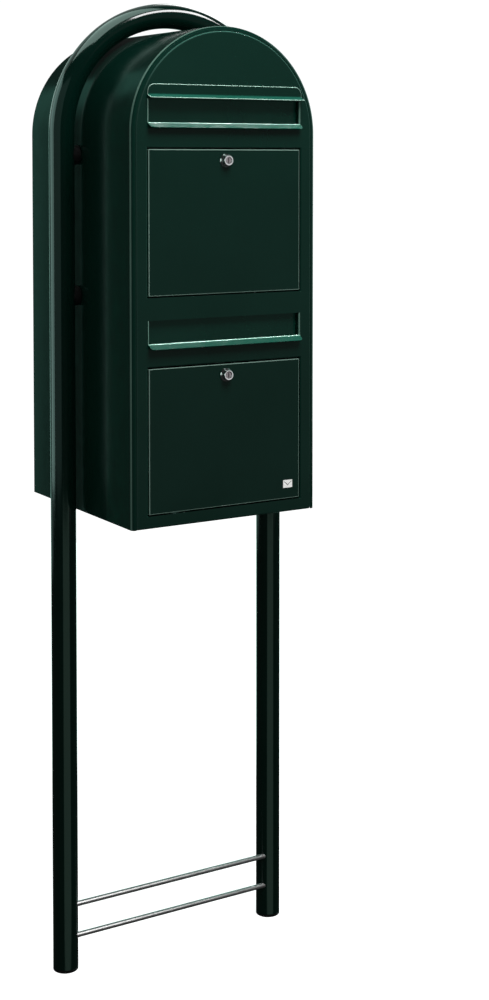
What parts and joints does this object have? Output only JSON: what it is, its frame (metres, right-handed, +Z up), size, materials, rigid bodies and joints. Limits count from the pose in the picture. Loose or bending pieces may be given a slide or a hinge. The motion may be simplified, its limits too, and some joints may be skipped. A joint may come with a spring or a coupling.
{
  "type": "parcel drop box",
  "caption": "Arched-top steel drop box with two letter slots and two locking doors, hung in an arched round-tube stand.",
  "frame": {"origin": "at ground level, midway between the two legs of the stand, in the stand's middle plane", "axes": "+Z up along the legs; -Y out of the front with its slots and doors; +X to the right as seen from the front"},
  "size_m": [0.4, 0.3475, 1.463],
  "materials": {
    "green_paint": "dark green powder coat, semi-gloss",
    "door_paint": "dark green powder coat, semi-gloss",
    "tube_paint": "dark green powder coat, semi-gloss",
    "chrome": "satin chrome-plated zinc",
    "zinc_steel": "bright zinc plating",
    "galvanised_rod": "drawn galvanised bar",
    "black_plastic": "moulded, fine satin",
    "white_foil": "printed vinyl"
  },
  "bodies": {
    "frame": {"body_wrap": "green_paint", "back_panel": "green_paint", "bottom_plate": "green_paint", "front_panel": "green_paint", "rain_visor": "green_paint", "divider_shelf": "green_paint", "stand_tube": "tube_paint", "upper_flap_rod": "zinc_steel", "upper_ground_rod": "galvanised_rod", "upper_left_hinge_pin": "zinc_steel", "upper_left_spacer": "black_plastic", "upper_left_washer": "zinc_steel", "upper_left_bolt": "zinc_steel", "upper_left_insert": "zinc_steel", "upper_right_hinge_pin": "zinc_steel", "upper_right_spacer": "black_plastic", "upper_right_washer": "zinc_steel", "upper_right_bolt": "zinc_steel", "upper_right_insert": "zinc_steel", "lower_flap_rod": "zinc_steel", "lower_ground_rod": "galvanised_rod", "lower_left_hinge_pin": "zinc_steel", "lower_left_spacer": "black_plastic", "lower_left_washer": "zinc_steel", "lower_left_bolt": "zinc_steel", "lower_left_insert": "zinc_steel", "lower_right_hinge_pin": "zinc_steel", "lower_right_spacer": "black_plastic", "lower_right_washer": "zinc_steel", "lower_right_bolt": "zinc_steel", "lower_right_insert": "zinc_steel", "left_end_cap": "black_plastic", "right_end_cap": "black_plastic"},
    "upper_door": {"upper_door": "door_paint", "upper_lock_barrel": "chrome", "upper_lock_nut": "zinc_steel"},
    "lower_door": {"lower_door": "door_paint", "lower_lock_barrel": "chrome", "lower_lock_nut": "zinc_steel", "envelope_badge": "white_foil"},
    "upper_flap": {"upper_flap": "green_paint"},
    "lower_flap": {"lower_flap": "green_paint"},
    "upper_lock": {"upper_lock_plug": "chrome", "upper_lock_cam": "zinc_steel", "upper_cam_screw": "zinc_steel"},
    "lower_lock": {"lower_lock_plug": "chrome", "lower_lock_cam": "zinc_steel", "lower_cam_screw": "zinc_steel"}
  },
  "joints": [
    {"name": "upper_door_hinge", "type": "hinge", "parent": "frame", "child": "upper_door", "pos_m": [0, -0.162, 1.0405], "axis": [1, 0, 0], "range_deg": [0, 95]},
    {"name": "lower_door_hinge", "type": "hinge", "parent": "frame", "child": "lower_door", "pos_m": [0, -0.162, 0.728], "axis": [1, 0, 0], "range_deg": [0, 95]},
    {"name": "upper_flap_hinge", "type": "hinge", "parent": "frame", "child": "upper_flap", "pos_m": [0, -0.1605, 1.318], "axis": [1, 0, 0], "range_deg": [0, 70]},
    {"name": "lower_flap_hinge", "type": "hinge", "parent": "frame", "child": "lower_flap", "pos_m": [0, -0.1605, 1.003], "axis": [1, 0, 0], "range_deg": [0, 70]},
    {"name": "upper_lock_turn", "type": "hinge", "parent": "upper_door", "child": "upper_lock", "pos_m": [0, -0.172, 1.2235], "axis": [0, -1, 0], "range_deg": [0, 90]},
    {"name": "lower_lock_turn", "type": "hinge", "parent": "lower_door", "child": "lower_lock", "pos_m": [0, -0.172, 0.911], "axis": [0, -1, 0], "range_deg": [0, 90]}
  ]
}
